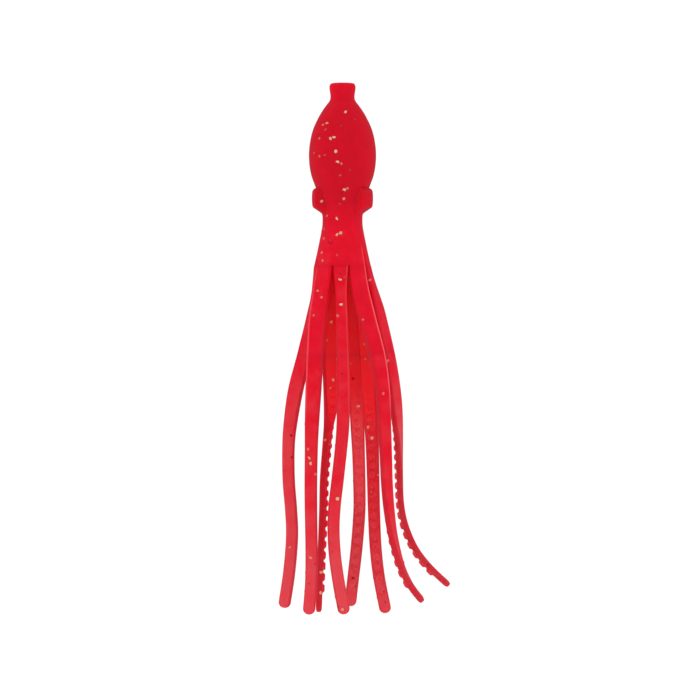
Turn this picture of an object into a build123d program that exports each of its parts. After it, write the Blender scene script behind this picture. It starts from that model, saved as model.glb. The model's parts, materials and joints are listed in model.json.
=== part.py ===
from build123d import *

import os
from math import cos, radians, sin

# Octopus fishing skirt in soft vinyl, hung nose up. Millimetres, Z up, front towards -Y.
# The origin is the top of the line hole. Angles round the ring start at the front and grow towards +X.

# Driving dimensions
LINE_HOLE_RADIUS = 1.0
NOSE_END = -3.7  # the nose tube runs from 0 down to here
NECK_TOP = -29.6  # the mantle runs from the nose tube down to here
NECK_BORE_RADIUS = 3.3
NECK_BORE_END = -38.0  # below it the inside opens out towards the rim
NECK_RIM = -41.5  # lower edge of the neck, where the strips begin
RIM_OUTER_RADIUS = 6.45
RIM_INNER_RADIUS = 5.1
NECK_TOP_RADIUS = 4.6
RIB_ROUNDING = 0.45  # rounding of the nose tube's rim

EYE_ARC = 100  # each eye lobe wraps this many degrees of the head
EYE_LOBES = {"right_eye_lobe": 80, "left_eye_lobe": -100}  # ring angle of each lobe's middle

STRIP_THICKNESS = 1.35
STRIP_CORNER = 0.4
STRIP_WIDTH = 2.6  # width that every strip settles to
SLIT = 0.2  # gap between two strips at their roots
TAPER_POWER = 1.8  # how fast the wide roots narrow
TIP_LENGTH = 1.3
TIP_SHARE = 0.45  # width left at the very end of a tip
HINGE_DROP = 0.8  # a hinge line lies this far below the face above it
KNUCKLE_RADIUS = 0.6
KNUCKLE_SHARE = 0.8  # share of the strip's width that the knuckle takes
ROOT_RADIUS = 6.0  # ring of root hinges
ROOT_LEVEL = NECK_RIM - HINGE_DROP
MIDDLE = 3  # station of every strip's middle hinge

# Levels of the stations below the root, shared by all strips; each strip ends at a tip of its own
LEVELS = (-54.0, -68.5, -81.6, -95.4, -105.5)

# Each strip as it hangs: the pair of slits that bound it, the way its outer face looks at the root,
# the middle hinge and the tip, and its middle line as (x, y) at each level, with the tip as (x, y, z)
STRIPS = {
    "front": {
        "slits": (-21, 13),
        "facing": (-4, 0, 4),
        "line": ((-0.1, -7.4), (0.3, -8.8), (-0.2, -9.5), (-1.7, -9.4), (-1.6, -9.1)),
        "tip": (0.6, -8.6, -119.9),
    },
    "front_right": {
        "slits": (13, 56),
        "facing": (34.5, 42, 84),
        "line": ((5.6, -6.5), (8.7, -7.6), (9.6, -8.1), (10.4, -8.0), (12.2, -7.6)),
        "tip": (18.0, -6.6, -117.4),
    },
    "right": {
        "slits": (56, 103),
        "facing": (79.5, 90, 96),
        "line": ((9.1, -1.4), (12.2, -1.6), (12.9, -1.6), (13.3, -1.5), (16.1, -1.2)),
        "tip": (24.0, -0.8, -113.8),
    },
    "rear_right": {
        "slits": (103, 153),
        "facing": (128, 165, 178),
        "line": ((5.3, 5.3), (6.0, 6.9), (6.9, 7.6), (7.2, 7.7), (7.5, 7.6)),
        "tip": (10.1, 7.3, -119.9),
    },
    "rear": {
        "slits": (153, 200),
        "facing": (176.5, 180, 184),
        "line": ((1.8, 8.4), (3.2, 10.1), (3.6, 10.7), (4.0, 10.8), (3.3, 10.5)),
        "tip": (1.6, 9.9, -118.6),
    },
    "rear_left": {
        "slits": (200, 245),
        "facing": (-137.5, -96, -90),
        "line": ((-3.4, 6.2), (-2.8, 7.6), (-3.5, 8.2), (-4.4, 8.2), (-4.8, 8.0)),
        "tip": (-5.4, 7.5, -119.7),
    },
    "left": {
        "slits": (245, 292),
        "facing": (-91.5, -25, -15),
        "line": ((-7.2, 0.1), (-10.2, 0.5), (-12.2, 0.8), (-11.7, 0.8), (-11.5, 0.6)),
        "tip": (-13.2, 0.3, -119.0),
    },
    "front_left": {
        "slits": (292, 339),
        "facing": (-44.5, -14, -6),
        "line": ((-5.6, -6.2), (-6.5, -7.9), (-7.0, -8.6), (-7.0, -8.5), (-6.9, -8.3)),
        "tip": (-7.6, -8.0, -120.0),
    },
}


def outward(angle):
    """Level direction that points away from the axis at an angle of the ring."""
    return Vector(sin(radians(angle)), -cos(radians(angle)), 0)


def sideways(angle):
    """Level direction along the ring at an angle of it."""
    return Vector(cos(radians(angle)), sin(radians(angle)), 0)


def radial_plane(angle):
    """Plane through the axis, with X pointing outward and Y up."""
    return Plane(origin=(0, 0, 0), x_dir=outward(angle), z_dir=outward(angle).cross(Vector(0, 0, 1)))


def save(name, part):
    """Label a finished piece and write it."""
    part.label = name
    export_step(part, f"parts/{name}.step")


def mantle_outline(inner):
    """Closed outline of half the mantle: to the axis, or down to its hollow if inner is set."""
    outside = Spline(
        (2.75, NOSE_END),
        (4.05, -5.5),
        (6.67, -10.4),
        (7.63, -16.0),
        (7.17, -20.7),
        (5.97, -23.6),
        (4.9, -26.8),
        (NECK_TOP_RADIUS, NECK_TOP),
    )
    if inner:
        inside = Spline(
            (LINE_HOLE_RADIUS, NOSE_END),
            (2.3, -6.0),
            (5.2, -10.7),
            (6.3, -16.0),
            (5.85, -20.4),
            (4.75, -23.4),
            (3.7, -26.8),
            (NECK_BORE_RADIUS, NECK_TOP),
        )
        Line(outside @ 0, inside @ 0)
        Line(outside @ 1, inside @ 1)
    else:
        Polyline(outside @ 0, (0, NOSE_END), (0, NECK_TOP), outside @ 1)


def make_nose_tube():
    with BuildPart() as nose_tube:
        with BuildSketch(radial_plane(90)):
            with BuildLine():
                flare = Spline((2.9, 0), (2.97, -1.1), (2.72, -3.0), (2.75, NOSE_END))
                Polyline(flare @ 1, (LINE_HOLE_RADIUS, NOSE_END), (LINE_HOLE_RADIUS, 0), flare @ 0)
            make_face()
        revolve(axis=Axis.Z)
        rim = nose_tube.edges().filter_by(GeomType.CIRCLE).group_by(Axis.Z)[-1].sort_by(SortBy.RADIUS)[-1]
        fillet(rim, RIB_ROUNDING)
    return nose_tube.part


def make_mantle():
    with BuildPart() as mantle_shell:
        with BuildSketch(radial_plane(90)):
            with BuildLine():
                mantle_outline(inner=True)
            make_face()
        revolve(axis=Axis.Z)
    return mantle_shell.part


def make_eye_lobe(middle):
    """Thick pad on the side of the head: flat-bottomed, round-shouldered, seated on the mantle."""
    with BuildPart() as eye_lobe:
        with BuildSketch(radial_plane(middle - EYE_ARC / 2)):
            with BuildLine():
                shoulder = Spline((5.6, -23.95), (6.45, -24.3), (6.9, -25.5), (6.7, -28.3))
                Polyline(shoulder @ 1, (NECK_TOP_RADIUS, NECK_TOP), (4, NECK_TOP), (4, -23.95), shoulder @ 0)
            make_face()
            with BuildLine():
                mantle_outline(inner=False)
            make_face(mode=Mode.SUBTRACT)
        revolve(axis=Axis.Z, revolution_arc=EYE_ARC)
    return eye_lobe.part


def make_neck():
    """Sleeve with a straight bore that grips an insert, and a skirt that opens towards the strips."""
    with BuildPart() as neck_sleeve:
        with BuildSketch(radial_plane(90)):
            with BuildLine():
                outside = Spline(
                    (NECK_TOP_RADIUS, NECK_TOP),
                    (4.58, -32.2),
                    (5.14, -35.3),
                    (5.97, -39.4),
                    (RIM_OUTER_RADIUS, NECK_RIM),
                )
                Polyline(
                    outside @ 1,
                    (RIM_INNER_RADIUS, NECK_RIM),
                    (NECK_BORE_RADIUS, NECK_BORE_END),
                    (NECK_BORE_RADIUS, NECK_TOP),
                    outside @ 0,
                )
            make_face()
        revolve(axis=Axis.Z)
    return neck_sleeve.part


def middle_line(strip):
    """Points of a strip's middle line, from its root hinge to its tip."""
    first, last = strip["slits"]
    root = outward((first + last) / 2) * ROOT_RADIUS + Vector(0, 0, ROOT_LEVEL)
    below = [Vector(x, y, z) for (x, y), z in zip(strip["line"], LEVELS)]
    return [root, *below, Vector(*strip["tip"])]


def facing_at(strip, station, count):
    """Direction of the outer face at a station, turned evenly above and below the middle hinge."""
    root, middle, tip = strip["facing"]
    if station <= MIDDLE:
        return root + (middle - root) * station / MIDDLE
    return middle + (tip - middle) * (station - MIDDLE) / (count - 1 - MIDDLE)


def width_at(strip, share):
    """Width of a strip at a share of its length: wide at the slit, even from half way down."""
    first, last = strip["slits"]
    inner_radius = ROOT_RADIUS - STRIP_THICKNESS / 2
    root_width = 2 * inner_radius * sin(radians(last - first) / 2) - SLIT
    return STRIP_WIDTH + (root_width - STRIP_WIDTH) * (1 - share) ** TAPER_POWER


def strip_frames(strip):
    """Section plane and width at each station: X along the width, Y through the thickness, Z down the strip."""
    points = middle_line(strip)
    last = len(points) - 1
    frames = []
    for station, point in enumerate(points):
        above = points[max(station - 1, 0)]
        below = points[min(station + 1, last)]
        along = (below - above).normalized()
        across = sideways(facing_at(strip, station, len(points)))
        across = (across - along * across.dot(along)).normalized()
        frames.append((Plane(origin=point, x_dir=across, z_dir=along), width_at(strip, station / last)))
    return frames


def moved_back(frame, distance):
    """The same section, moved up its strip."""
    plane, width = frame
    return Plane(origin=plane.origin - plane.z_dir * distance, x_dir=plane.x_dir, z_dir=plane.z_dir), width


def make_strip_piece(frames, tip=None):
    """Band through the frames, with a round knuckle on its first hinge line and a short taper to any tip."""
    hinge, hinge_width = frames[0]
    with BuildPart() as piece:
        for plane, width in frames:
            with BuildSketch(plane):
                RectangleRounded(width, STRIP_THICKNESS, STRIP_CORNER)
        loft()
        with BuildSketch(Plane(origin=hinge.origin, z_dir=hinge.x_dir)):
            Circle(KNUCKLE_RADIUS)
        extrude(amount=hinge_width * KNUCKLE_SHARE / 2, both=True)
        if tip:
            for plane, width in (frames[-1], tip):
                with BuildSketch(plane):
                    RectangleRounded(width, STRIP_THICKNESS, STRIP_CORNER)
            loft(ruled=True)
    return piece.part


def make_strip(name, strip):
    frames = strip_frames(strip)
    upper = [*frames[:MIDDLE], moved_back(frames[MIDDLE], HINGE_DROP)]
    save(f"{name}_tentacle_upper", make_strip_piece(upper))
    tip, tip_width = frames[-1]
    lower = [*frames[MIDDLE:-1], moved_back(frames[-1], TIP_LENGTH)]
    save(f"{name}_tentacle_lower", make_strip_piece(lower, tip=(tip, tip_width * TIP_SHARE)))


os.makedirs("parts", exist_ok=True)
save("nose_tube", make_nose_tube())
save("mantle_shell", make_mantle())
for eye_name, eye_middle in EYE_LOBES.items():
    save(eye_name, make_eye_lobe(eye_middle))
save("neck_sleeve", make_neck())
for strip_name, strip_data in STRIPS.items():
    make_strip(strip_name, strip_data)
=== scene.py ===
import math
import random

import bmesh
import bpy
from mathutils import Matrix, Vector
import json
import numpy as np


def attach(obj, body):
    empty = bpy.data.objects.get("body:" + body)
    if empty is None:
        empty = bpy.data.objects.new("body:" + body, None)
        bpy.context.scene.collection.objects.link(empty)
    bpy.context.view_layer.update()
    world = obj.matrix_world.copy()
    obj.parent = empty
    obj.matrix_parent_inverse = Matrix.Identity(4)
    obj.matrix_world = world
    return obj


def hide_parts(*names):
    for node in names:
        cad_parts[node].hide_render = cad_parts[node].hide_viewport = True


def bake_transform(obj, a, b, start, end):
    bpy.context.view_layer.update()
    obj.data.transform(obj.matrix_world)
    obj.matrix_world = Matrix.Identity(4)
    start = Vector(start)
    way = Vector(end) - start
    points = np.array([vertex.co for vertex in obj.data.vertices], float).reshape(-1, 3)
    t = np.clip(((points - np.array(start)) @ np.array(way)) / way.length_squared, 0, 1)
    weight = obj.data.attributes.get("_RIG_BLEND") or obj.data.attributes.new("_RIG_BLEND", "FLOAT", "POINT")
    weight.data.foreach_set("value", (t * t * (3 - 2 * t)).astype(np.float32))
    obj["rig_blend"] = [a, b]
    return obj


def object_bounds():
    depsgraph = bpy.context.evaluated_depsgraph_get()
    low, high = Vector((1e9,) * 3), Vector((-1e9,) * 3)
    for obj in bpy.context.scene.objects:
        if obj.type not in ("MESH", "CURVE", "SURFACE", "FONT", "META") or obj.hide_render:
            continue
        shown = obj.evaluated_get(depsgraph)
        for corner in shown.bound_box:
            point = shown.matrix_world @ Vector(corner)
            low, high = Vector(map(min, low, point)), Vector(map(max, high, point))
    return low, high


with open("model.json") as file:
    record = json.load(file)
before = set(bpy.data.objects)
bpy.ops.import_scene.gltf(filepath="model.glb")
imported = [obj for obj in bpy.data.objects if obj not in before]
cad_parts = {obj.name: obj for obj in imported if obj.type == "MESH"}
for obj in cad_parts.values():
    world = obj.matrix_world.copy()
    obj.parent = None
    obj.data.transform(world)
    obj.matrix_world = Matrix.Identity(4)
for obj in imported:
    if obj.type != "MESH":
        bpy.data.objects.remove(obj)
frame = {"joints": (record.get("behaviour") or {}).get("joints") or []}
cad_low, cad_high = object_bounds()

# Octopus fishing skirt in clear red vinyl, hung by its nose: one hollow head and neck, eight strips with
# suckers down their inner faces, and glitter all through. Sizes below are millimetres unless they say otherwise.

MM = 0.001
FULL_TURN = 2 * math.pi
JOINTS = {joint["name"]: joint for joint in frame["joints"]}

# Head
HEAD_STEPS = 180
PROFILE_PITCH = 0.3
NECK_RIM = -41.5
RIM_OUTER_RADIUS = 6.45
RIM_INNER_RADIUS = 5.1
RIM_MIDDLE_RADIUS = (RIM_OUTER_RADIUS + RIM_INNER_RADIUS) / 2
HEAD_OUTSIDE = (
    (1.0, -0.4), (1.12, -0.08), (1.5, 0.0), (2.2, -0.02), (2.7, -0.2), (2.95, -0.75), (2.95, -1.4),
    (2.78, -2.5), (2.74, -3.4), (3.0, -4.15), (3.6, -4.95), (4.6, -6.35), (5.65, -8.2), (6.67, -10.5),
    (7.3, -13.0), (7.61, -15.8), (7.5, -18.6), (7.05, -21.0), (6.35, -23.0), (5.75, -24.6), (5.1, -26.6),
    (4.7, -28.4), (4.55, -30.2), (4.57, -32.2), (4.85, -34.0), (5.25, -36.0), (5.75, -38.4),
    (RIM_OUTER_RADIUS, NECK_RIM),
)
HEAD_INSIDE = (
    (RIM_INNER_RADIUS, NECK_RIM), (4.5, -40.3), (3.75, -38.9), (3.3, -37.4), (3.3, -33.5), (3.3, -29.6),
    (3.7, -27.2), (4.75, -23.6), (5.85, -20.4), (6.25, -16.0), (5.2, -10.8), (2.6, -6.4), (1.2, -4.2),
    (1.0, -3.2), (1.0, -1.8), (1.0, -0.4),
)
# Outer radius over the middle of an eye lobe, by level
LOBE_SHOULDER = (
    (-23.85, 6.0), (-23.95, 6.35), (-24.1, 6.62), (-24.45, 6.84), (-25.5, 6.94), (-26.6, 6.94),
    (-27.8, 6.84), (-28.25, 6.66), (-28.6, 6.1), (-29.2, 5.2), (-29.55, 4.75), (-30.0, 4.55),
)
LOBE_MIDDLES = (80, -100)
LOBE_HALF_ARC = 41
LOBE_FADE = 12

# Crease that runs up the neck from each slit: angle, level where it starts, depth
CREASES = (
    (-21, -40.2, 0.15), (13, -40.4, 0.15), (56, -36.6, 0.4), (103, -39.5, 0.2), (153, -39.5, 0.2),
    (200, -39.5, 0.2), (245, -39.5, 0.2), (292, -38.6, 0.3),
)
CREASE_HALF_ARC = 3.2
# Strength of the painted light through the neck's vinyl
NECK_THROUGH_LIGHT = 0.33
HIGHLIGHT_ANGLE = 52.0  # where the painted highlight line runs up the neck

# Strips, in the flat
STRIP_LENGTH = 78.5
STRIP_WIDTH = 2.6
STRIP_THICKNESS = 1.42
STRIP_COLUMNS = (-1, -0.62, 0.62, 1)
TOP_SPARE = 2.0  # the flat strip starts this far above the neck's rim and is trimmed to it
PLAIN_PITCH = 2.4
FIRST_SUCKER = 27.5
LAST_SUCKER = 72.6
TIP_RADIUS = 1.3
SEAM = 20.5  # distance below the rim where the strip's upper and lower pieces meet
RING_REACH = 12.0  # the strip flattens out of the neck's curve over this distance
ROOT_REACH = 2.4  # a strip that swings at its root bends over this distance to either side of its pivot

# Stations down each strip: across, back, level, the way the outer face looks (degrees round from the front), width
# Each strip also gives the strength of its painted highlight line, whose sign picks the edge, and its painted light
# through the vinyl at root, middle and tip
STRIPS = {
    "front": {
        "slits": (-21, 13),
        "painted_light": 0.3,
        "through_light": (0.38, 0.5, 1.0),
        "stations": (
            (-0.3, -6.5, -47.2, -3, 2.8), (-0.1, -7.4, -54.0, -2, 2.7), (0.1, -8.3, -62.5, -1, 2.85),
            (0.25, -9.0, -71.0, 0, 3.0), (0.1, -9.4, -77.5, 0, 2.95), (-0.3, -9.5, -82.5, 2, 2.85),
            (-1.1, -9.5, -89.8, 3, 2.85), (-1.75, -9.4, -95.4, 4, 2.85), (-2.0, -9.3, -100.6, 4, 2.8),
            (-1.7, -9.1, -106.5, 4, 2.8), (-0.8, -8.8, -113.0, 4, 2.8), (0.5, -8.6, -119.9, 4, 2.8),
        ),
    },
    "front_right": {
        "slits": (13, 56),
        "painted_light": 0.9,
        "through_light": (0.32, 0.42, 0.75),
        "stations": (
            (4.1, -5.7, -47.2, 35, 4.75), (5.65, -6.5, -53.8, 34, 4.6), (7.95, -7.3, -62.6, 34, 4.25),
            (9.1, -7.8, -70.5, 32, 3.6), (9.45, -8.1, -77.5, 30, 3.2), (9.75, -8.1, -84.0, 33, 2.95),
            (10.0, -8.1, -90.5, 40, 2.85), (10.5, -7.9, -96.5, 50, 2.8), (11.4, -7.7, -102.5, 64, 2.8),
            (13.15, -7.3, -109.0, 78, 2.8), (15.35, -7.0, -113.6, 84, 2.8), (18.1, -6.6, -117.2, 84, 2.8),
        ),
    },
    "right": {
        "slits": (56, 103),
        "painted_light": 0.1,
        "through_light": (0.36, 0.8, 0.95),
        "stations": (
            (7.1, -1.1, -47.2, 66, 4.9), (8.6, -1.4, -53.8, 60, 4.7), (10.6, -1.6, -62.6, 58, 4.4),
            (11.85, -1.6, -70.5, 56, 4.0), (12.4, -1.6, -76.5, 60, 3.6), (12.75, -1.5, -81.5, 74, 3.1),
            (12.95, -1.5, -88.0, 86, 2.8), (13.25, -1.5, -95.4, 90, 2.8), (14.35, -1.4, -100.6, 92, 2.8),
            (16.55, -1.2, -105.6, 94, 2.8), (19.8, -1.0, -109.8, 96, 2.8), (24.1, -0.8, -113.9, 96, 2.8),
        ),
    },
    "rear_right": {
        "slits": (103, 153),
        "painted_light": 0.2,
        "through_light": (0.2, 0.5, 0.9),
        "stations": (
            (4.7, 4.1, -47.2, 132, 4.9), (5.3, 5.3, -54.0, 142, 4.5), (5.75, 6.3, -62.5, 152, 4.1),
            (6.15, 7.0, -70.5, 160, 3.6), (6.55, 7.2, -77.5, 164, 3.25), (6.85, 7.2, -84.0, 167, 3.05),
            (7.05, 7.2, -92.0, 170, 2.9), (7.2, 7.2, -98.0, 174, 2.85), (7.55, 7.2, -105.5, 176, 2.8),
            (8.35, 7.2, -112.5, 178, 2.75), (9.95, 7.2, -120.6, 178, 2.75),
        ),
    },
    "rear": {
        "slits": (153, 197),
        "painted_light": 0.2,
        "through_light": (0.2, 0.9, 1.0),
        "stations": (
            (1.1, 7.0, -47.2, 177, 4.7), (1.8, 8.4, -54.0, 178, 4.5), (2.6, 9.5, -62.5, 179, 4.0),
            (3.2, 10.3, -70.5, 180, 3.6), (3.4, 10.8, -77.5, 180, 3.3), (3.65, 11.0, -84.0, 181, 3.0),
            (3.85, 11.0, -91.5, 182, 2.9), (3.85, 10.9, -97.5, 183, 2.85), (3.25, 10.6, -105.5, 184, 2.8),
            (2.4, 10.2, -113.0, 184, 2.75), (1.7, 9.9, -119.2, 184, 2.75),
        ),
    },
    "rear_left": {
        "slits": (197, 245),
        "painted_light": 0.2,
        "through_light": (0.2, 0.4, 0.6),
        "stations": (
            (-3.2, 5.2, -47.2, -143, 4.8), (-3.15, 6.3, -54.0, -147, 4.5), (-2.85, 7.1, -61.5, -150, 4.2),
            (-2.65, 7.7, -69.0, -150, 3.8), (-2.75, 8.0, -74.0, -142, 3.4), (-3.2, 8.1, -78.0, -118, 2.9),
            (-3.65, 8.2, -82.5, -108, 2.85), (-4.3, 8.2, -90.0, -102, 2.8), (-4.5, 8.1, -97.0, -100, 2.8),
            (-4.9, 8.0, -105.5, -94, 2.8), (-5.2, 7.7, -113.0, -90, 2.8), (-5.45, 7.5, -120.4, -90, 2.8),
        ),
    },
    "left": {
        "slits": (245, 292),
        "painted_light": 0.1,
        "through_light": (0.38, 0.8, 1.0),
        "stations": (
            (-6.3, 0.15, -47.2, -84, 4.6), (-7.2, 0.2, -54.0, -70, 4.5), (-8.6, 0.4, -61.5, -48, 4.2),
            (-10.6, 0.5, -69.5, -32, 3.8), (-11.8, 0.7, -77.0, -20, 3.2), (-12.25, 0.8, -82.5, -15, 2.9),
            (-12.2, 0.8, -90.0, -15, 2.85), (-11.65, 0.8, -97.0, -15, 2.8), (-11.45, 0.7, -103.0, -15, 2.8),
            (-12.1, 0.5, -111.0, -15, 2.8), (-13.3, 0.3, -119.0, -15, 2.8),
        ),
    },
    "front_left": {
        "slits": (292, 339),
        "painted_light": -0.5,
        "through_light": (0.32, 0.5, 0.9),
        "stations": (
            (-4.8, -5.1, -47.2, -38, 4.7), (-5.6, -6.2, -53.8, -28, 4.4), (-6.05, -7.1, -60.5, -20, 4.05),
            (-6.5, -7.9, -69.0, -15, 3.75), (-6.85, -8.4, -77.0, -10, 3.3), (-7.0, -8.6, -83.0, -8, 3.0),
            (-7.1, -8.5, -93.0, -6, 2.9), (-6.95, -8.3, -105.5, -6, 2.8), (-7.05, -8.1, -113.0, -6, 2.8),
            (-7.6, -8.0, -120.0, -6, 2.8),
        ),
    },
}

# Glitter
FLAKE_RADIUS = 0.43
FLAKE_THICKNESS = 0.05
FLAKES_PER_SQUARE_MM = 0.03
# Flakes seen from the front: across, level, how deep they lie, which also sets their painted glint (0 bright on the
# skin, 0.9 dim, 1 a dark fleck)
FRONT_FLAKES = (
    (0.7, -6.8, 0.1), (2.8, -8.5, 0.9), (-3.5, -9.4, 0.3), (-4.4, -9.7, 0.5), (-0.3, -10.0, 0.8),
    (-3.8, -10.8, 0.7), (-1.9, -12.6, 0.0), (-2.7, -12.9, 0.1), (-5.2, -12.8, 0.6), (-1.5, -15.8, 0.05),
    (-6.4, -16.0, 0.6), (-4.0, -16.6, 0.7), (-5.2, -16.8, 0.6), (-1.1, -18.2, 0.05), (-0.2, -18.6, 0.6),
    (1.7, -20.0, 0.85), (-0.5, -21.2, 0.7), (0.4, -24.4, 0.1), (1.1, -24.1, 0.5), (-4.1, -25.7, 0.8),
    (0.3, -26.4, 0.4), (-4.7, -26.9, 0.3), (-0.6, -27.5, 0.75), (-3.5, -30.1, 0.4), (-1.2, -30.8, 0.0),
    (-4.1, -33.2, 0.3), (-1.2, -34.5, 0.15), (-0.4, -34.1, 0.2), (-4.2, -35.3, 0.5), (-4.7, -38.5, 0.4),
    (-4.4, -40.3, 0.45), (-1.2, -39.1, 0.7), (-0.5, -44.6, 0.05), (0.5, -44.1, 0.7), (6.2, -44.7, 0.4),
    (-5.6, -47.2, 0.35), (-4.7, -48.6, 0.45), (-0.3, -50.2, 0.0), (-1.1, -52.8, 0.5), (-6.5, -52.7, 0.6),
    (-2.6, -54.1, 0.1), (4.6, -53.7, 0.5), (-3.5, -58.3, 0.5), (5.0, -59.2, 0.45), (10.3, -62.9, 0.5),
    (5.2, -62.6, 0.5), (1.9, -63.6, 0.6), (-2.2, -67.4, 0.15), (-2.8, -69.2, 0.45), (0.1, -70.4, 0.8),
    (9.2, -70.3, 0.5), (3.6, -73.4, 0.15), (5.8, -78.1, 0.2), (7.7, -78.6, 0.8), (6.7, -80.6, 0.1),
    (-4.0, -81.0, 0.4), (-3.0, -82.0, 0.6), (-0.4, -81.4, 0.8), (-7.7, -82.8, 0.5), (-7.5, -84.8, 0.1),
    (-7.1, -86.0, 0.1), (-6.0, -88.4, 0.5), (8.1, -89.1, 0.5), (6.5, -92.8, 0.4), (-1.1, -93.9, 0.0),
    (2.8, -96.1, 0.6), (-12.0, -105.2, 0.4), (-7.1, -107.1, 0.3), (-2.6, -104.0, 0.8), (-4.4, -110.5, 0.2),
    (-4.9, -111.2, 0.2), (-5.0, -115.9, 0.1), (0.0, -118.8, 0.3), (2.6, -99.5, 0.8), (7.9, -104.0, 0.8),
    (-2.4, -36.3, 1.0), (-2.8, -36.5, 1.0), (-3.2, -36.2, 1.0), (-0.2, -25.1, 1.0), (-0.5, -43.3, 1.0),
    (-0.1, -65.8, 1.0), (-6.2, -108.6, 1.0), (-7.5, -113.1, 1.0), (-0.9, -118.2, 1.0), (3.0, -114.7, 1.0),
    (9.4, -115.6, 1.0), (9.8, -118.1, 1.0), (19.4, -109.1, 1.0),
)


# Small helpers

def shade_layers(bm):
    """Per-point values that the vinyl's colour reads."""
    names = ("through_light", "edge", "inside", "painted_light")
    for name in names:
        bm.verts.layers.float.new(name)
    return [bm.verts.layers.float[name] for name in names]


def smooth_fade(share):
    """0 below 0, 1 above 1, and an even curve between."""
    share = min(max(share, 0.0), 1.0)
    return share * share * (3 - 2 * share)


def outward(angle):
    """Level direction away from the axis, at an angle of the ring counted from the front."""
    return Vector((math.sin(math.radians(angle)), -math.cos(math.radians(angle)), 0))


def sideways(angle):
    """Level direction along the ring."""
    return Vector((math.cos(math.radians(angle)), math.sin(math.radians(angle)), 0))


def curve_through(points, pitch):
    """Rows about a pitch apart on a smooth curve through the given ones, whose first three numbers are a place."""
    points = [Vector(point) for point in points]
    ends = [2 * points[0] - points[1], *points, 2 * points[-1] - points[-2]]
    fine = [points[0]]
    for before, here, there, after in zip(ends, ends[1:], ends[2:], ends[3:]):
        count = max(1, round((there - here).xyz.length / pitch))
        for step in range(1, count + 1):
            t = step / count
            pull = (there - before) * t + (2 * before - 5 * here + 4 * there - after) * t * t
            pull += (3 * here - before - 3 * there + after) * t**3
            fine.append(here + pull / 2)
    return fine


def value_at(table, level):
    """Value between two rows of a short (level, value) table that runs downwards."""
    if level >= table[0][0]:
        return table[0][1]
    for (upper, first), (lower, second) in zip(table, table[1:]):
        if level >= lower:
            return first + (second - first) * (upper - level) / (upper - lower)
    return table[-1][1]


def new_object(name, bm, materials, smooth_angle=50):
    """Turn a mesh in millimetres into a shown piece in metres."""
    bmesh.ops.scale(bm, vec=(MM, MM, MM), verts=bm.verts)
    mesh = bpy.data.meshes.new(name)
    bm.to_mesh(mesh)
    bm.free()
    mesh.shade_smooth()
    mesh.set_sharp_from_angle(angle=math.radians(smooth_angle))
    for material in materials:
        mesh.materials.append(material)
    piece = bpy.data.objects.new(name, mesh)
    bpy.context.scene.collection.objects.link(piece)
    return piece


# Materials

def node_group(name, inputs, outputs):
    """Empty shader group with its sockets, and the helpers that fill it."""
    group = bpy.data.node_groups.new(name, "ShaderNodeTree")
    for socket_name, kind, default in inputs:
        socket = group.interface.new_socket(name=socket_name, in_out="INPUT", socket_type=kind)
        socket.default_value = default
    for socket_name, kind in outputs:
        group.interface.new_socket(name=socket_name, in_out="OUTPUT", socket_type=kind)
    return group


def make_cast_vinyl():
    """Unevenness of cast vinyl: cloudy patches, dark specks, and a faint skin texture for gloss and relief."""
    group = node_group(
        "cast_vinyl",
        (("Place", "NodeSocketVector", (0, 0, 0)), ("Speck Share", "NodeSocketFloat", 0.1)),
        (
            ("Cloud", "NodeSocketFloat"), ("Specks", "NodeSocketFloat"), ("Roughness", "NodeSocketFloat"),
            ("Height", "NodeSocketFloat"),
        ),
    )
    nodes, links = group.nodes, group.links
    given = nodes.new("NodeGroupInput")
    result = nodes.new("NodeGroupOutput")

    cloud = nodes.new("ShaderNodeTexNoise")
    cloud.inputs["Scale"].default_value = 300
    cloud.inputs["Detail"].default_value = 4
    cloud.inputs["Roughness"].default_value = 0.6
    links.new(given.outputs["Place"], cloud.inputs["Vector"])
    cloud_range = nodes.new("ShaderNodeMapRange")
    cloud_range.inputs["From Min"].default_value = 0.3
    cloud_range.inputs["From Max"].default_value = 0.7
    cloud_range.inputs["To Min"].default_value = -1
    cloud_range.inputs["To Max"].default_value = 1
    links.new(cloud.outputs["Fac"], cloud_range.inputs["Value"])
    links.new(cloud_range.outputs["Result"], result.inputs["Cloud"])

    speck = nodes.new("ShaderNodeTexVoronoi")
    speck.inputs["Scale"].default_value = 430
    links.new(given.outputs["Place"], speck.inputs["Vector"])
    speck_pick = nodes.new("ShaderNodeSeparateColor")
    links.new(speck.outputs["Color"], speck_pick.inputs["Color"])
    speck_edge = nodes.new("ShaderNodeMapRange")
    speck_edge.inputs["To Min"].default_value = 0.04
    speck_edge.inputs["To Max"].default_value = 0.13
    links.new(speck_pick.outputs["Green"], speck_edge.inputs["Value"])
    speck_near = nodes.new("ShaderNodeMath")
    speck_near.operation = "LESS_THAN"
    links.new(speck.outputs["Distance"], speck_near.inputs[0])
    links.new(speck_edge.outputs["Result"], speck_near.inputs[1])
    speck_chosen = nodes.new("ShaderNodeMath")
    speck_chosen.operation = "LESS_THAN"
    links.new(speck_pick.outputs["Red"], speck_chosen.inputs[0])
    links.new(given.outputs["Speck Share"], speck_chosen.inputs[1])
    speck_mask = nodes.new("ShaderNodeMath")
    speck_mask.operation = "MULTIPLY"
    links.new(speck_near.outputs["Value"], speck_mask.inputs[0])
    links.new(speck_chosen.outputs["Value"], speck_mask.inputs[1])
    links.new(speck_mask.outputs["Value"], result.inputs["Specks"])

    skin = nodes.new("ShaderNodeTexNoise")
    skin.inputs["Scale"].default_value = 1500
    skin.inputs["Detail"].default_value = 4
    links.new(given.outputs["Place"], skin.inputs["Vector"])
    links.new(skin.outputs["Fac"], result.inputs["Height"])
    gloss = nodes.new("ShaderNodeMapRange")
    gloss.inputs["To Min"].default_value = 0.4
    gloss.inputs["To Max"].default_value = 0.56
    links.new(skin.outputs["Fac"], gloss.inputs["Value"])
    links.new(gloss.outputs["Result"], result.inputs["Roughness"])
    return group


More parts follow.
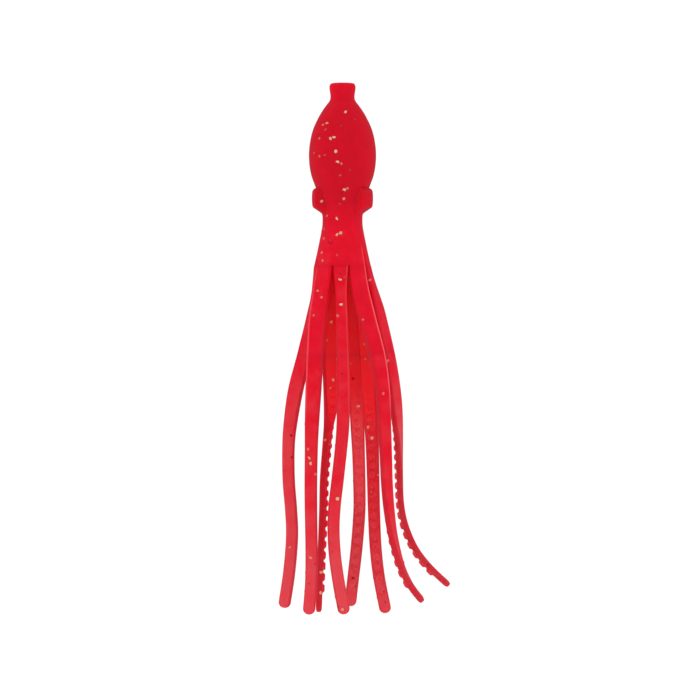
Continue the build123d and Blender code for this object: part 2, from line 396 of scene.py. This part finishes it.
def make_red_vinyl(cast_vinyl):
    """Clear red vinyl under a satin skin: its own deep red, with painted light that makes it pinker where light
    shines through, painted shade along the strip sides, a painted glow inside, and painted highlight lines.
    """
    material = bpy.data.materials.new("red_vinyl")
    material.use_nodes = True
    nodes, links = material.node_tree.nodes, material.node_tree.links
    shader = nodes["Principled BSDF"]
    shader.inputs["Subsurface Weight"].default_value = 1.0
    shader.inputs["Subsurface Radius"].default_value = (1.0, 0.2, 0.2)
    shader.inputs["Subsurface Scale"].default_value = 0.6 * MM
    shader.inputs["Specular IOR Level"].default_value = 0.2
    shader.inputs["Coat Weight"].default_value = 0.9
    shader.inputs["Coat Roughness"].default_value = 0.35

    place = nodes.new("ShaderNodeTexCoord")
    body = nodes.new("ShaderNodeGroup")
    body.node_tree = cast_vinyl
    body.inputs["Speck Share"].default_value = 0.05
    links.new(place.outputs["Object"], body.inputs["Place"])

    through_light = nodes.new("ShaderNodeAttribute")
    through_light.attribute_name = "through_light"
    clouded = nodes.new("ShaderNodeMath")
    clouded.operation = "MULTIPLY_ADD"
    clouded.inputs[1].default_value = 0.13
    links.new(body.outputs["Cloud"], clouded.inputs[0])
    links.new(through_light.outputs["Fac"], clouded.inputs[2])
    # The ramp runs from the vinyl's own deep red to a lighter pink that is painted light shining through it
    tint = nodes.new("ShaderNodeValToRGB")
    tint.color_ramp.elements[0].color = (0.61, 0.0035, 0.017, 1)
    tint.color_ramp.elements[1].color = (0.76, 0.074, 0.095, 1)
    upper = tint.color_ramp.elements.new(0.33)
    upper.color = (0.75, 0.004, 0.024, 1)
    links.new(clouded.outputs["Value"], tint.inputs["Fac"])
    specked = nodes.new("ShaderNodeMix")
    specked.data_type = "RGBA"
    specked.inputs["B"].default_value = (0.3, 0.003, 0.01, 1)
    links.new(body.outputs["Specks"], specked.inputs["Factor"])
    colour = tint.outputs["Color"]
    # Painted shade along the strip sides, painted glow inside the neck and on the sucker faces near it, and painted
    # highlight lines and lift
    for attribute, tone in (
        ("edge", (0.42, 0.028, 0.042, 1)), ("inside", (1.0, 0.03, 0.045, 1)), ("painted_light", (1.0, 0.13, 0.15, 1)),
    ):
        place_mask = nodes.new("ShaderNodeAttribute")
        place_mask.attribute_name = attribute
        toned = nodes.new("ShaderNodeMix")
        toned.data_type = "RGBA"
        toned.inputs["B"].default_value = tone
        links.new(place_mask.outputs["Fac"], toned.inputs["Factor"])
        links.new(colour, toned.inputs["A"])
        colour = toned.outputs["Result"]
    links.new(colour, specked.inputs["A"])
    links.new(specked.outputs["Result"], shader.inputs["Base Color"])

    links.new(body.outputs["Roughness"], shader.inputs["Roughness"])
    bump = nodes.new("ShaderNodeBump")
    bump.inputs["Strength"].default_value = 0.25
    bump.inputs["Distance"].default_value = 0.05 * MM
    links.new(body.outputs["Height"], bump.inputs["Height"])
    links.new(bump.outputs["Normal"], shader.inputs["Normal"])
    return material


def make_glitter():
    """Pale gold flake that fades to pink where it lies deeper in the vinyl; the brightest, palest flakes are painted
    glints.
    """
    material = bpy.data.materials.new("gold_glitter")
    material.use_nodes = True
    nodes, links = material.node_tree.nodes, material.node_tree.links
    shader = nodes["Principled BSDF"]
    shader.inputs["Metallic"].default_value = 0.35
    depth = nodes.new("ShaderNodeAttribute")
    depth.attribute_name = "depth"
    tint = nodes.new("ShaderNodeValToRGB")
    tint.color_ramp.elements[0].color = (1.0, 0.66, 0.42, 1)
    tint.color_ramp.elements[1].color = (0.25, 0.004, 0.01, 1)
    deeper = ((0.5, (0.95, 0.22, 0.17, 1)), (0.75, (0.85, 0.045, 0.06, 1)), (0.9, (0.8, 0.03, 0.05, 1)))
    for position, colour in deeper:
        tint.color_ramp.elements.new(position).color = colour
    rough = nodes.new("ShaderNodeMapRange")
    rough.inputs["To Min"].default_value = 0.3
    rough.inputs["To Max"].default_value = 0.5
    links.new(depth.outputs["Fac"], tint.inputs["Fac"])
    links.new(depth.outputs["Fac"], rough.inputs["Value"])
    links.new(tint.outputs["Color"], shader.inputs["Base Color"])
    links.new(rough.outputs["Result"], shader.inputs["Roughness"])
    return material


# Head and neck

def make_head(material):
    """One hollow skin: nose tube, mantle, eye lobes and neck, down to the slits."""
    outside = curve_through([(radius, 0, level) for radius, level in HEAD_OUTSIDE], PROFILE_PITCH)
    inside = curve_through([(radius, 0, level) for radius, level in HEAD_INSIDE], 2 * PROFILE_PITCH)
    profile = outside + inside[:-1]
    bm = bmesh.new()
    ring = [bm.verts.new(point) for point in profile]
    edges = [bm.edges.new(pair) for pair in zip(ring, ring[1:] + ring[:1])]
    bmesh.ops.spin(
        bm, geom=ring + edges, cent=(0, 0, 0), axis=(0, 0, 1), angle=FULL_TURN, steps=HEAD_STEPS, use_merge=True,
    )
    bmesh.ops.remove_doubles(bm, verts=bm.verts, dist=0.001)
    for vert in bm.verts:
        raise_eye_lobe(vert)
        press_creases(vert)
    bmesh.ops.recalc_face_normals(bm, faces=bm.faces)
    through_light, _, inside, painted_light = shade_layers(bm)
    for vert in bm.verts:
        vert[through_light] = head_through_light(vert.co.z)
        # Painted glow on the neck's inner skin, standing in for light that comes in through the slits
        inner = vert.co.xy.length < RIM_MIDDLE_RADIUS and vert.normal.xy.dot(vert.co.xy) < 0
        vert[inside] = 0.8 * (inner and vert.co.z < -30)
        # Painted highlight: a thin pale line up the neck
        angle = math.degrees(math.atan2(vert.co.x, -vert.co.y))
        vert[painted_light] = 0.8 * max(0, 1 - abs(angle - HIGHLIGHT_ANGLE) / 2.4) * smooth_fade((-36.6 - vert.co.z) / 1.5)
    return new_object("head_skin", bm, [material], smooth_angle=60)


def head_through_light(level):
    """Painted light shining through the vinyl, by level: dark over the mantle, lighter at the nose and down the neck.
    """
    return NECK_THROUGH_LIGHT * max(smooth_fade((-26.0 - level) / 9.0), 0.7 * smooth_fade((level + 6.0) / 4.0))


def raise_eye_lobe(vert):
    """Push the outer skin out over an eye lobe."""
    radius = vert.co.xy.length
    top, bottom = LOBE_SHOULDER[0][0], LOBE_SHOULDER[-1][0]
    if not bottom < vert.co.z < top or radius < 4.5:
        return
    angle = math.degrees(math.atan2(vert.co.x, -vert.co.y))
    for middle in LOBE_MIDDLES:
        off = abs((angle - middle + 180) % 360 - 180)
        share = smooth_fade((LOBE_HALF_ARC + LOBE_FADE / 2 - off) / LOBE_FADE)
        grown = radius + (value_at(LOBE_SHOULDER, vert.co.z) - radius) * share
        vert.co.xy = vert.co.xy * (max(grown, radius) / radius)


def press_creases(vert):
    """Press the slits' creases into the outer skin of the neck."""
    radius = vert.co.xy.length
    if vert.co.z > CREASES[2][1] or radius < RIM_MIDDLE_RADIUS - 0.9:
        return
    angle = math.degrees(math.atan2(vert.co.x, -vert.co.y))
    for slit, start, depth in CREASES:
        off = abs((angle - slit + 180) % 360 - 180)
        share = max(0.0, 1 - off / CREASE_HALF_ARC) * smooth_fade((start - vert.co.z) / (start - NECK_RIM))
        vert.co.xy = vert.co.xy * (1 - depth * share / radius)


# Strips

def sucker_pitch(distance):
    return 1.9 + 0.8 * (distance / STRIP_LENGTH) ** 2


def sucker_height(distance):
    return 0.08 + 0.34 * smooth_fade((distance - FIRST_SUCKER) / 10)


def strip_rows():
    """Distances of the cross rows down a flat strip, and the rows that start a sucker."""
    rows = [-TOP_SPARE]
    while rows[-1] < FIRST_SUCKER - PLAIN_PITCH:
        rows.append(rows[-1] + PLAIN_PITCH)
    starts = []
    distance = FIRST_SUCKER
    while distance < LAST_SUCKER:
        pitch = sucker_pitch(distance)
        starts.append(len(rows))
        rows.append(distance)
        distance += pitch
    rows.append(distance)
    tail = STRIP_LENGTH - TIP_RADIUS
    rows += [distance + 0.7, (distance + 0.7 + tail) / 2, tail]
    rows += [tail + TIP_RADIUS * share for share in (0.35, 0.65, 0.87, 1.0)]
    return rows, starts


def make_flat_strip():
    """Strip modelled flat along -Z, outer face to +Y, with a cupped sucker in every second cell of its inner face."""
    rows, starts = strip_rows()
    half = STRIP_WIDTH / 2
    bm = bmesh.new()
    bmesh.ops.create_grid(bm, x_segments=len(STRIP_COLUMNS) - 1, y_segments=len(rows) - 1, size=1)
    for vert in bm.verts:
        column = round((vert.co.x + 1) / 2 * (len(STRIP_COLUMNS) - 1))
        row = round((1 - vert.co.y) / 2 * (len(rows) - 1))
        vert.co = Vector((STRIP_COLUMNS[column] * half, STRIP_THICKNESS / 2, -rows[row]))
    bmesh.ops.recalc_face_normals(bm, faces=bm.faces)
    if bm.faces[0].normal.y < 0:
        bmesh.ops.reverse_faces(bm, faces=bm.faces)
    bmesh.ops.solidify(bm, geom=bm.faces, thickness=STRIP_THICKNESS)
    bm.normal_update()
    cells = []
    for face in bm.faces:
        middle = face.calc_center_median()
        if middle.y > -STRIP_THICKNESS * 0.49 or abs(middle.x) > 0.1:
            continue
        if any(rows[row] < -middle.z < rows[row + 1] for row in starts):
            cells.append(face)
    cup_suckers(bm, cells)
    return subdivided(bm)


def cup_suckers(bm, cells):
    """Raise each cell into a round-topped sucker with a shallow hollow in it."""
    bmesh.ops.inset_individual(bm, faces=cells, thickness=0.09, use_even_offset=True)
    raised = bmesh.ops.extrude_discrete_faces(bm, faces=cells)["faces"]
    for face in raised:
        middle = face.calc_center_median()
        height = sucker_height(-middle.z)
        bmesh.ops.translate(bm, verts=face.verts, vec=(0, -height * 1.25, 0))
        bmesh.ops.scale(bm, verts=face.verts, vec=(0.72, 1, 0.6), space=Matrix.Translation(-middle))
    bmesh.ops.inset_individual(bm, faces=raised, thickness=0.2, use_even_offset=True)
    for face in raised:
        bmesh.ops.translate(bm, verts=face.verts, vec=(0, 0.07, 0))


def subdivided(bm):
    """Mesh rounded by two levels of subdivision."""
    mesh = bpy.data.meshes.new("flat_strip")
    bm.to_mesh(mesh)
    bm.free()
    flat = bpy.data.objects.new("flat_strip", mesh)
    bpy.context.scene.collection.objects.link(flat)
    rounding = flat.modifiers.new("rounding", "SUBSURF")
    rounding.levels = 2
    rounding.render_levels = 2
    finished = bpy.data.meshes.new_from_object(flat.evaluated_get(bpy.context.evaluated_depsgraph_get()))
    bpy.data.objects.remove(flat)
    return finished


class StripLine:
    """A strip as it hangs: middle line, the way its outer face looks and its width, by distance from the rim."""

    def __init__(self, strip, bend):
        first, last = strip["slits"]
        self.through_light = strip["through_light"]
        self.painted_light = strip["painted_light"]
        self.middle_angle = (first + last) / 2
        if self.middle_angle > 180:
            self.middle_angle -= 360
        sector = math.radians(last - first) * RIM_OUTER_RADIUS
        rim = outward(self.middle_angle) * RIM_MIDDLE_RADIUS
        top = (rim.x, rim.y, NECK_RIM, self.middle_angle, sector)
        self.rows = curve_through([top, *strip["stations"]], 1.0)
        self.distances = [0.0]
        for here, there in zip(self.rows, self.rows[1:]):
            self.distances.append(self.distances[-1] + (there - here).xyz.length)
        self.length = self.distances[-1]
        pivot = Vector(JOINTS[bend]["pos_m"]) / MM
        offsets = [(row.xyz - pivot).length for row in self.rows]
        self.bend_distance = self.distances[offsets.index(min(offsets))]

    def at(self, distance):
        """Place, direction down the strip, facing and width at a distance."""
        distance = min(max(distance, 0.0), self.length)
        upper = 0
        while upper < len(self.rows) - 2 and self.distances[upper + 1] < distance:
            upper += 1
        here, there = self.rows[upper], self.rows[upper + 1]
        share = (distance - self.distances[upper]) / (self.distances[upper + 1] - self.distances[upper])
        before = self.rows[max(upper - 1, 0)]
        after = self.rows[min(upper + 2, len(self.rows) - 1)]
        along = (there - before).xyz.lerp((after - here).xyz, share).normalized()
        row = here.lerp(there, share)
        return row.xyz, along, row[3], row[4]


def lay_vert(line, flat):
    """Where a point of the flat strip ends up on the hanging one."""
    distance = -flat.z * line.length / STRIP_LENGTH
    place, along, facing, width = line.at(distance)
    across = sideways(facing)
    across = (across - along * across.dot(along)).normalized()
    normal = across.cross(along)
    if normal.dot(outward(facing)) < 0:
        normal = -normal
    side = flat.x / (STRIP_WIDTH / 2)
    tip = max(0.0, (-flat.z - (STRIP_LENGTH - TIP_RADIUS)) / TIP_RADIUS)
    rounding = math.sqrt(max(1 - tip * tip, 0.03))
    laid = place + across * side * width / 2 * rounding + normal * flat.y * (0.45 + 0.55 * rounding)
    ring = 1 - smooth_fade(distance / RING_REACH)
    if ring > 0:
        radius = place.xy.length
        half_angle = math.degrees(width / 2 / (radius + RIM_OUTER_RADIUS - RIM_MIDDLE_RADIUS))
        angle = math.degrees(math.atan2(place.x, -place.y)) + side * half_angle
        curved = outward(angle) * (radius + flat.y)
        curved.z = place.z
        laid = laid.lerp(curved, ring)
    return laid


def cut_strip(flat_mesh, top, bottom):
    """The part of the flat strip between two distances, closed at its cuts."""
    bm = bmesh.new()
    bm.from_mesh(flat_mesh)
    for distance, keep_below in ((top, True), (bottom, False)):
        if distance is None:
            continue
        geometry = bm.verts[:] + bm.edges[:] + bm.faces[:]
        cut = bmesh.ops.bisect_plane(
            bm, geom=geometry, plane_co=(0, 0, -distance), plane_no=(0, 0, 1), dist=0.0001,
            clear_outer=keep_below, clear_inner=not keep_below,
        )
        rim = [item for item in cut["geom_cut"] if isinstance(item, bmesh.types.BMEdge)]
        bmesh.ops.contextual_create(bm, geom=rim)
    return bm


def strip_highlight(line, flat):
    """Strength of the painted highlight, a thin pale line along one edge of a strip where it catches the light, which
    dies out half-way down.
    """
    side = flat.x / (STRIP_WIDTH / 2) * math.copysign(1, line.painted_light)
    if not 0.7 < side < 0.9 or flat.y < 0:
        return 0
    return abs(line.painted_light) * smooth_fade((38 + flat.z) / 10)


def strip_edge(flat):
    """1 on a strip's narrow sides, 0 over its faces."""
    return smooth_fade((abs(flat.x) / (STRIP_WIDTH / 2) - 0.66) / 0.24)


def strip_through_light(line, flat):
    """Painted light through the vinyl: deeper red under the neck, where the strips lie in each other's shade, and
    lighter where a strip hangs alone.
    """
    root, middle, tip = line.through_light
    share = -flat.z / STRIP_LENGTH
    value = NECK_THROUGH_LIGHT + (root - NECK_THROUGH_LIGHT) * smooth_fade(share / 0.12)
    value += (middle - root) * smooth_fade((share - 0.25) / 0.3) + (tip - middle) * smooth_fade((share - 0.6) / 0.35)
    return value * (1 - 0.25 * strip_edge(flat))


def strip_inside(flat):
    """Glow of the sucker face near the neck, where light reaches it through the strips around it."""
    return 0.8 * inner_share(flat) * (1 - smooth_fade((-flat.z - 28) / 14))


def strip_lift(line, flat):
    """Painted light: a paler band on a see-through strip's sucker face, half-way down, lifting the shade of the
    strips around it.
    """
    band = smooth_fade((-flat.z - 26) / 12) * (1 - smooth_fade((-flat.z - 48) / 16))
    return inner_share(flat) * band * max(0.0, line.through_light[1] - 0.4)


def inner_share(flat):
    """1 over the face that carries the suckers, 0 on the sides and the outer face."""
    return (1 - strip_edge(flat)) * smooth_fade(-2 * flat.y / STRIP_THICKNESS)


def make_strip_piece(name, flat_mesh, line, top, bottom, material):
    bm = cut_strip(flat_mesh, top, bottom)
    through_light, edge, inside, painted_light = shade_layers(bm)
    for vert in bm.verts:
        vert[through_light] = strip_through_light(line, vert.co)
        # Painted shade along the strip's narrow sides, fading in below the neck
        vert[edge] = 0.42 * strip_edge(vert.co) * smooth_fade((-vert.co.z - 4) / 16)
        vert[inside] = strip_inside(vert.co)
        # Painted highlight line along one edge, and a painted lift of the shade on the sucker face
        vert[painted_light] = strip_highlight(line, vert.co) + strip_lift(line, vert.co)
        vert.co = lay_vert(line, vert.co)
    bmesh.ops.recalc_face_normals(bm, faces=bm.faces)
    if bm.calc_volume(signed=True) < 0:
        bmesh.ops.reverse_faces(bm, faces=bm.faces)
    return new_object(name, bm, [material])


# Glitter

class Glitter:
    """Flakes lying in the skin of one piece, gathered into one mesh."""

    def __init__(self, host, chance):
        self.host = host
        self.chance = chance
        self.bm = bmesh.new()
        self.depth = self.bm.verts.layers.float.new("depth")

    def add(self, place, normal, depth):
        """One thin six-sided flake, tipped and turned its own way."""
        turn = normal.to_track_quat("Z", "Y").to_matrix().to_4x4()
        tip = Matrix.Rotation(math.radians(self.chance.gauss(0, 9)), 4, "X")
        spin = Matrix.Rotation(self.chance.uniform(0, FULL_TURN), 4, "Z")
        shape = Matrix.Diagonal((1, self.chance.uniform(0.7, 1), 1, 1))
        matrix = Matrix.Translation(place) @ turn @ spin @ tip @ shape
        size = FLAKE_RADIUS * (1.05 - 0.3 * depth - 0.3 * (depth == 1))
        flake = bmesh.ops.create_cone(
            self.bm, cap_ends=True, cap_tris=False, segments=6, radius1=size, radius2=size * 0.96,
            depth=FLAKE_THICKNESS, matrix=matrix,
        )
        for vert in flake["verts"]:
            vert[self.depth] = depth

    def scatter(self, per_square_mm):
        """Flakes all over the sides and the back."""
        faces = [face for face in self.host.data.polygons if face.normal.y > -0.2 and is_outer(face)]
        areas = [face.area / MM**2 for face in faces]
        for face in self.chance.choices(faces, weights=areas, k=round(sum(areas) * per_square_mm)):
            self.add(face.center / MM, face.normal, 0.9 * self.chance.random() ** 1.3)

    def finished(self, material):
        return new_object(f"{self.host.name}_glitter", self.bm, [material], smooth_angle=20)


def is_outer(face):
    """False inside the hollow head and neck."""
    return face.center.z < NECK_RIM * MM or face.center.xy.dot(face.normal.xy) > 0


def place_front_flakes(glitters):
    """Lay each front flake on whichever piece is nearest to someone in front."""
    bpy.context.view_layer.update()
    for across, level, depth in FRONT_FLAKES:
        nearest = None
        for glitter in glitters:
            start = Vector((across, -30, level)) * MM
            hit, place, normal, _ = glitter.host.ray_cast(start, Vector((0, 1, 0)))
            if hit and (nearest is None or place.y < nearest[1].y):
                nearest = (glitter, place, normal)
        if nearest is not None:
            nearest[0].add(nearest[1] / MM, nearest[2], depth)


# Studio

VIEW_ACROSS = 1.7  # the camera looks this far to the right of the nose
VIEW_HEIGHT = (cad_low.z + cad_high.z) / 2 / MM - 0.5
FRAME_WIDTH = 158.7
LENS = 220.0
SENSOR = 36.0
FLOOR_DROP = 26.0


def make_camera():
    lens = bpy.data.cameras.new("camera")
    lens.lens = LENS
    lens.sensor_width = SENSOR
    lens.clip_start = 0.01
    camera = bpy.data.objects.new("camera", lens)
    camera.location = Vector((VIEW_ACROSS, -FRAME_WIDTH * LENS / SENSOR, VIEW_HEIGHT)) * MM
    camera.rotation_euler = (math.radians(90), 0, 0)
    bpy.context.scene.collection.objects.link(camera)
    bpy.context.scene.camera = camera


def make_world():
    """White surroundings that light evenly but leave only a dim reflection in the vinyl."""
    world = bpy.data.worlds.new("studio")
    world.use_nodes = True
    nodes, links = world.node_tree.nodes, world.node_tree.links
    background = nodes["Background"]
    background.inputs["Color"].default_value = (1, 1, 1, 1)
    path = nodes.new("ShaderNodeLightPath")
    strength = nodes.new("ShaderNodeMapRange")
    strength.inputs["To Min"].default_value = 1.05
    strength.inputs["To Max"].default_value = 0.09
    links.new(path.outputs["Is Glossy Ray"], strength.inputs["Value"])
    links.new(strength.outputs["Result"], background.inputs["Strength"])
    bpy.context.scene.world = world


def make_light(name, place, aim, size, power):
    light = bpy.data.lights.new(name, "AREA")
    light.shape = "DISK"
    light.size = size * MM
    light.energy = power
    lamp = bpy.data.objects.new(name, light)
    lamp.location = Vector(place) * MM
    lamp.rotation_euler = (Vector(aim) - Vector(place)).to_track_quat("-Z", "Y").to_euler()
    lamp.visible_glossy = False
    bpy.context.scene.collection.objects.link(lamp)


def make_floor():
    bm = bmesh.new()
    bmesh.ops.create_circle(bm, cap_ends=True, radius=4000, segments=64)
    bmesh.ops.translate(bm, verts=bm.verts, vec=(0, 0, cad_low.z / MM - FLOOR_DROP))
    material = bpy.data.materials.new("pale_floor")
    material.use_nodes = True
    shader = material.node_tree.nodes["Principled BSDF"]
    shader.inputs["Base Color"].default_value = (1, 1, 1, 1)
    shader.inputs["Roughness"].default_value = 1
    shader.inputs["Specular IOR Level"].default_value = 0
    floor = new_object("floor", bm, [material])
    floor.visible_glossy = False


def make_studio():
    bpy.context.scene.view_settings.view_transform = "Standard"
    make_camera()
    make_world()
    make_light("key", (-260, -380, 160), (0, 0, -50), 300, 0.16)
    make_light("edge", (330, 20, -20), (0, 0, -60), 90, 0.045)
    make_floor()


# The lure

def make_lure():
    chance = random.Random(7)
    vinyl = make_red_vinyl(make_cast_vinyl())
    gold = make_glitter()

    head = make_head(vinyl)
    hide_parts("nose_tube", "mantle_shell", "right_eye_lobe", "left_eye_lobe", "neck_sleeve")
    pieces = [(head, ("head",), ())]
    flat = make_flat_strip()
    for name, strip in STRIPS.items():
        line = StripLine(strip, f"{name}_tentacle_bend")
        upper, lower = f"{name}_tentacle_upper", f"{name}_tentacle_lower"
        seam_distance = SEAM * line.length / STRIP_LENGTH
        pivot, down = Vector(JOINTS[f"{name}_tentacle_root"]["pos_m"]) / MM, line.at(0)[1]
        seam = line.at(seam_distance)[0]
        end = line.at(2 * line.bend_distance - seam_distance)[0]
        upper_piece = make_strip_piece(f"{name}_strip_upper", flat, line, 0, SEAM, vinyl)
        lower_piece = make_strip_piece(f"{name}_strip_lower", flat, line, SEAM, None, vinyl)
        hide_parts(upper)
        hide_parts(lower)
        pieces.append((upper_piece, ("head", upper), (pivot - down * ROOT_REACH, pivot + down * ROOT_REACH)))
        pieces.append((lower_piece, (upper, lower), (seam, end)))

    glitters = [Glitter(piece, chance) for piece, _, _ in pieces]
    place_front_flakes(glitters)
    for glitter, (piece, bodies, reach) in zip(glitters, pieces):
        glitter.scatter(FLAKES_PER_SQUARE_MM)
        flakes = glitter.finished(gold)
        for part in (piece, flakes):
            if reach:
                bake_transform(part, *bodies, start=reach[0] * MM, end=reach[1] * MM)
            else:
                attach(part, *bodies)


make_studio()
make_lure()
